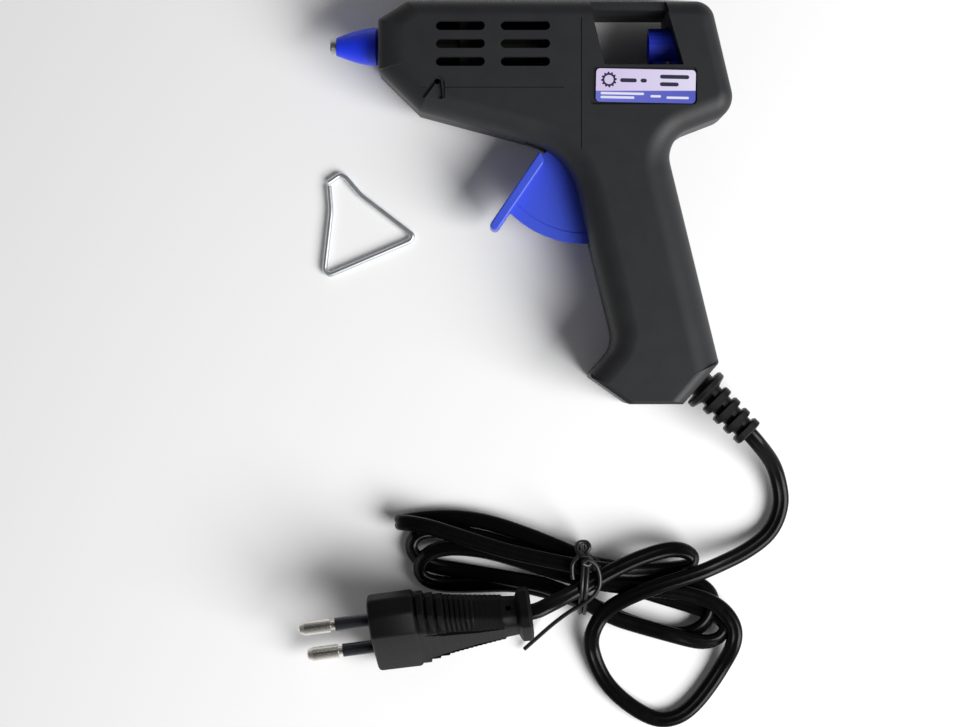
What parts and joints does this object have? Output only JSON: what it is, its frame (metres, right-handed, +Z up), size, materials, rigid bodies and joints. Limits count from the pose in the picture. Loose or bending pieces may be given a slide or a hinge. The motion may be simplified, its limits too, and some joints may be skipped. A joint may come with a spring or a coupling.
{
  "type": "hot glue gun",
  "caption": "Small black corded hot glue gun with a blue trigger, blue nozzle, see-through window, flat two-core cord in a tied bundle, two-pin plug and a loose wire stand.",
  "frame": {"origin": "centre of the gun's and stand's bounding box, on the surface they lie on; cord and plug are not counted", "axes": "+X from the nozzle to the stick inlet, +Y from the handle base to the top of the barrel, +Z up, out of the left housing; the gun lies on its right side"},
  "size_m": [0.1403, 0.2073, 0.0313],
  "materials": {
    "housing_black": "fine texture, matt",
    "trigger_blue": "moulded, satin",
    "nozzle_blue": "silicone, satin",
    "cast_aluminium": "cast",
    "plated_steel": "zinc plated",
    "heater_ceramic": "wrapped in film",
    "inlet_silicone": "silicone",
    "live_insulation": "PVC",
    "neutral_insulation": "PVC",
    "cord_black": "PVC, glossy",
    "label_film": "printed film",
    "pin_nickel": "nickel plated"
  },
  "bodies": {
    "root": {"housing_left": "housing_black", "housing_right": "housing_black", "inlet_guide": "housing_black", "cord_clamp": "housing_black", "nozzle_sleeve": "nozzle_blue", "nozzle_tip": "cast_aluminium", "melt_chamber": "cast_aluminium", "housing_screw_1": "plated_steel", "housing_screw_2": "plated_steel", "housing_screw_3": "plated_steel", "housing_screw_4": "plated_steel", "housing_screw_5": "plated_steel", "trigger_pin": "plated_steel", "return_spring": "plated_steel", "spring_guide": "plated_steel", "heater_clip": "plated_steel", "inlet_clamp": "plated_steel", "clamp_screw_1": "plated_steel", "clamp_screw_2": "plated_steel", "ptc_heater": "heater_ceramic", "inlet_sleeve": "inlet_silicone", "heat_washer": "inlet_silicone", "live_wire": "live_insulation", "neutral_wire": "neutral_insulation", "cord_inner": "cord_black", "strain_relief": "cord_black", "cord_lead": "cord_black", "cord_loop": "cord_black", "cord_tail": "cord_black", "cord_hank": "cord_black", "cord_tie": "cord_black", "plug_body": "cord_black", "pin_sleeve_1": "cord_black", "pin_sleeve_2": "cord_black", "rating_label": "label_film", "plug_pin_1": "pin_nickel", "plug_pin_2": "pin_nickel"},
    "trigger": {"trigger": "trigger_blue", "link_pin": "plated_steel"},
    "carriage": {"feed_carriage": "trigger_blue", "grip_jaw": "plated_steel", "jaw_pin": "plated_steel"},
    "stand": {"wire_stand": "plated_steel"}
  },
  "joints": [
    {"name": "trigger_pull", "type": "hinge", "parent": "root", "child": "trigger", "pos_m": [0.01765, 0.0195, 0.014], "axis": [0, 0, 1], "range_deg": [0, 22], "stiffness_Nm_per_rad": 0.4},
    {"name": "carriage_feed", "type": "slide", "parent": "root", "child": "carriage", "axis": [-1, 0, 0], "range_m": [0, 0.00532], "deforming": ["return_spring"]},
    {"name": "stand_lift", "type": "slide", "parent": "root", "child": "stand", "axis": [0, 0, 1], "range_m": [0, 0.03]}
  ],
  "couplings": [
    {"joint": "trigger_pull", "follows": "carriage_feed", "rad_per_m": 72.098}
  ]
}
